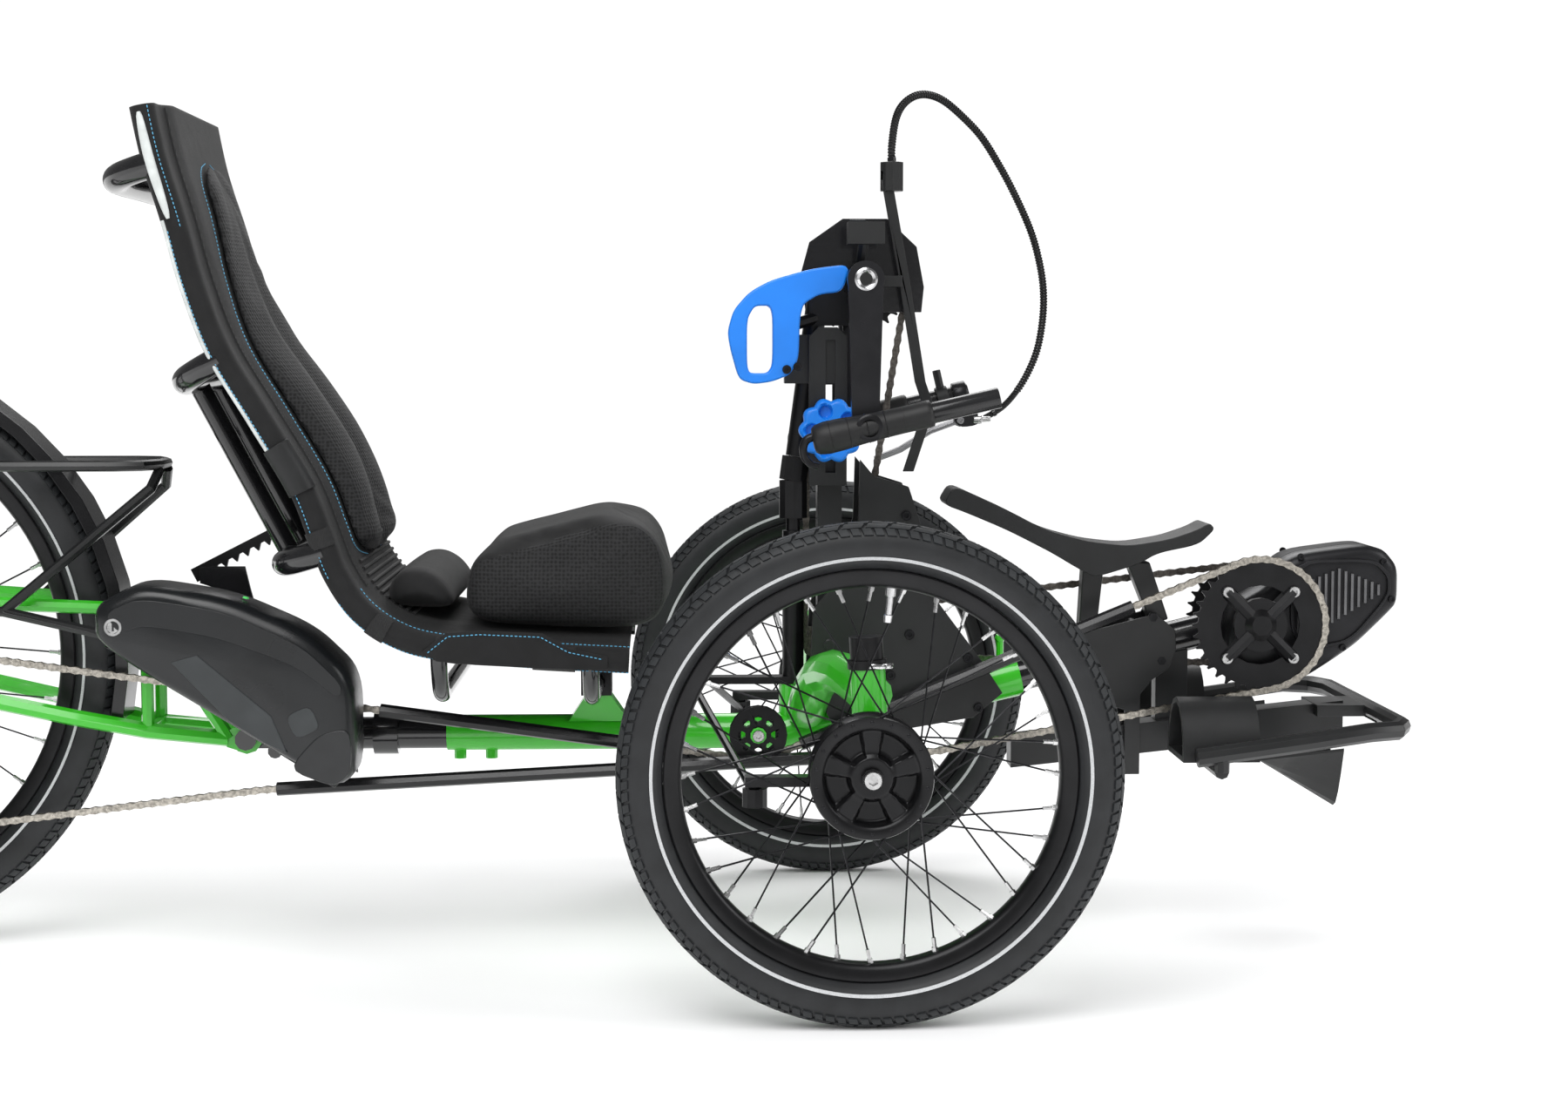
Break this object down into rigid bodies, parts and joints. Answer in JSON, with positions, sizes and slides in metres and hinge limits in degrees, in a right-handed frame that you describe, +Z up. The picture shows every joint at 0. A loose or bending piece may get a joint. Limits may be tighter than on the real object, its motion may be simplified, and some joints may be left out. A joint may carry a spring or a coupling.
{
  "type": "recumbent handcycle",
  "caption": "Recumbent handcycle with steered front wheels, hand crank on a mast, reclining seat, front motor, side battery and rear rack.",
  "frame": {"origin": "on the floor, under the middle of the bounding box", "axes": "+X forward towards the motor, +Y to the rider's left, +Z up"},
  "size_m": [2.0902, 0.8166, 0.9546],
  "materials": {
    "green_paint": "satin powder coat",
    "black_paint": "satin black powder coat",
    "black_alloy": "anodised black",
    "black_plastic": "fine grained",
    "battery_shell": "semi-gloss",
    "tube_plastic": "glossy",
    "chain_steel": "oiled",
    "bright_alloy": "polished",
    "blue_plastic": "smooth",
    "fabric": "woven black",
    "grip_rubber": "soft",
    "tyre": "black tread"
  },
  "bodies": {
    "frame": {"main_frame": "green_paint", "rear_inner_tube": "black_paint", "rear_frame": "green_paint", "luggage_rack": "black_paint", "mudguard": "black_plastic", "battery": "battery_shell", "boom_tube": "black_paint", "boom_cover": "black_paint", "foot_hoop": "black_paint", "calf_rest": "black_plastic", "right_heel_cup": "fabric", "left_heel_cup": "fabric", "motor": "black_plastic", "mast_plates": "black_paint", "mast_post": "black_paint", "seat_clamp": "black_paint", "drive_tube_front": "tube_plastic", "drive_tube_rear": "tube_plastic", "return_tube": "tube_plastic", "drive_chain": "chain_steel", "boom_chain": "chain_steel", "derailleur": "black_plastic"},
    "seat": {"seat_frame": "black_paint", "seat_fabric": "fabric", "back_pad": "fabric", "seat_cushion": "fabric"},
    "idler": {"drive_idler": "black_plastic"},
    "jackshaft": {"jackshaft": "black_alloy"},
    "chainring": {"chainring": "black_alloy"},
    "rear_wheel": {"rear_tyre": "tyre", "rear_rim": "black_alloy", "rear_hub": "black_alloy", "cassette": "chain_steel"},
    "right_knuckle": {"right_knuckle": "black_alloy"},
    "right_wheel": {"right_tyre": "tyre", "right_rim": "black_alloy", "right_hub": "black_alloy"},
    "right_tie_rod": {"right_tie_rod": "black_paint"},
    "left_knuckle": {"left_knuckle": "black_alloy"},
    "left_wheel": {"left_tyre": "tyre", "left_rim": "black_alloy", "left_hub": "black_alloy"},
    "left_tie_rod": {"left_tie_rod": "black_paint"},
    "tower": {"tower": "black_paint"},
    "clamp_knob": {"clamp_knob": "blue_plastic"},
    "steering_shaft": {"steering_shaft": "black_paint"},
    "drop_arm": {"drop_arm": "black_paint"},
    "crank_head": {"crank_head": "black_paint", "crank_guard": "black_plastic", "display": "black_plastic", "guide_bar": "black_alloy", "loop_handle": "blue_plastic", "crank_chain": "chain_steel", "cable_loop": "tube_plastic"},
    "crank": {"right_crank": "black_alloy", "left_crank": "black_alloy"},
    "right_grip": {"right_grip": "grip_rubber"},
    "left_grip": {"left_grip": "grip_rubber"},
    "brake_lever": {"brake_lever": "bright_alloy"},
    "shifter": {"shifter": "black_plastic"}
  },
  "joints": [
    {"name": "tower_height", "type": "slide", "parent": "frame", "child": "tower", "axis": [0, 0, 1], "range_m": [-0.01, 0.04], "deforming": ["crank_chain"]},
    {"name": "steer", "type": "hinge", "parent": "tower", "child": "crank_head", "pos_m": [0.37125, 0, 0.52], "axis": [0.1329, 0, 0.9911], "range_deg": [-20, 20], "deforming": ["crank_chain"]},
    {"name": "crank_spin", "type": "hinge", "parent": "crank_head", "child": "crank", "pos_m": [0.44525, 0, 0.741], "axis": [0, 1, 0], "continuous": true, "deforming": ["cable_loop"]},
    {"name": "right_grip_spin", "type": "hinge", "parent": "crank", "child": "right_grip", "pos_m": [0.44525, -0.15, 0.583], "axis": [0, 1, 0], "continuous": true},
    {"name": "left_grip_spin", "type": "hinge", "parent": "crank", "child": "left_grip", "pos_m": [0.44525, 0.15, 0.583], "axis": [0, 1, 0], "continuous": true, "deforming": ["cable_loop"]},
    {"name": "brake_lever_pull", "type": "hinge", "parent": "left_grip", "child": "brake_lever", "pos_m": [0.57387, 0.15, 0.58269], "axis": [0, 1, 0], "range_deg": [0, 14], "stiffness_Nm_per_rad": 1, "springref_deg": -11.46},
    {"name": "shifter_push", "type": "hinge", "parent": "left_grip", "child": "shifter", "pos_m": [0.55341, 0.15, 0.60797], "axis": [0.9744, 0, 0.225], "range_deg": [0, 25], "stiffness_Nm_per_rad": 0.5, "springref_deg": -11.46},
    {"name": "shaft_turn", "type": "hinge", "parent": "tower", "child": "steering_shaft", "pos_m": [0.37125, 0, 0.52], "axis": [0, 0, 1], "range_deg": [-20, 20]},
    {"name": "drop_arm_turn", "type": "hinge", "parent": "frame", "child": "drop_arm", "pos_m": [0.37125, 0, 0.292], "axis": [0, 0, 1], "range_deg": [-20, 20]},
    {"name": "right_tie_rod_turn", "type": "hinge", "parent": "drop_arm", "child": "right_tie_rod", "pos_m": [0.25125, 0, 0.3], "axis": [0, 0, 1], "range_deg": [-20, 20]},
    {"name": "left_tie_rod_turn", "type": "hinge", "parent": "drop_arm", "child": "left_tie_rod", "pos_m": [0.25125, 0, 0.3], "axis": [0, 0, 1], "range_deg": [-20, 20]},
    {"name": "right_wheel_steer", "type": "hinge", "parent": "frame", "child": "right_knuckle", "pos_m": [0.43725, -0.318, 0.25], "axis": [-0.0523, 0, 0.9986], "range_deg": [-20, 20]},
    {"name": "left_wheel_steer", "type": "hinge", "parent": "frame", "child": "left_knuckle", "pos_m": [0.43725, 0.318, 0.25], "axis": [-0.0523, 0, 0.9986], "range_deg": [-20, 20]},
    {"name": "right_wheel_spin", "type": "hinge", "parent": "right_knuckle", "child": "right_wheel", "pos_m": [0.43125, -0.38, 0.25], "axis": [0, 1, 0], "continuous": true},
    {"name": "left_wheel_spin", "type": "hinge", "parent": "left_knuckle", "child": "left_wheel", "pos_m": [0.43125, 0.38, 0.25], "axis": [0, 1, 0], "continuous": true},
    {"name": "rear_wheel_spin", "type": "hinge", "parent": "frame", "child": "rear_wheel", "pos_m": [-0.70375, 0, 0.3295], "axis": [0, 1, 0], "continuous": true},
    {"name": "jackshaft_spin", "type": "hinge", "parent": "frame", "child": "jackshaft", "pos_m": [0.40925, 0, 0.34], "axis": [0, 1, 0], "continuous": true},
    {"name": "chainring_spin", "type": "hinge", "parent": "frame", "child": "chainring", "pos_m": [0.88558, 0, 0.36196], "axis": [0, 1, 0], "continuous": true},
    {"name": "idler_spin", "type": "hinge", "parent": "frame", "child": "idler", "pos_m": [0.33025, -0.062, 0.243], "axis": [0, 1, 0], "continuous": true},
    {"name": "knob_turn", "type": "hinge", "parent": "frame", "child": "clamp_knob", "pos_m": [0.41125, -0.045, 0.577], "axis": [0, 1, 0], "range_deg": [-180, 180]},
    {"name": "seat_recline", "type": "hinge", "parent": "frame", "child": "seat", "pos_m": [0.15125, 0, 0.296], "axis": [0, -1, 0], "range_deg": [0, 5]}
  ],
  "couplings": [
    {"joint": "right_wheel_steer", "follows": "steer", "ratio": 1},
    {"joint": "left_wheel_steer", "follows": "steer", "ratio": 1},
    {"joint": "shaft_turn", "follows": "steer", "ratio": 1},
    {"joint": "drop_arm_turn", "follows": "steer", "ratio": 1},
    {"joint": "right_tie_rod_turn", "follows": "steer", "ratio": -1},
    {"joint": "left_tie_rod_turn", "follows": "steer", "ratio": -1},
    {"joint": "jackshaft_spin", "follows": "crank_spin", "ratio": 2.25},
    {"joint": "chainring_spin", "follows": "crank_spin", "ratio": 0.96429},
    {"joint": "idler_spin", "follows": "crank_spin", "ratio": -2.4796}
  ]
}
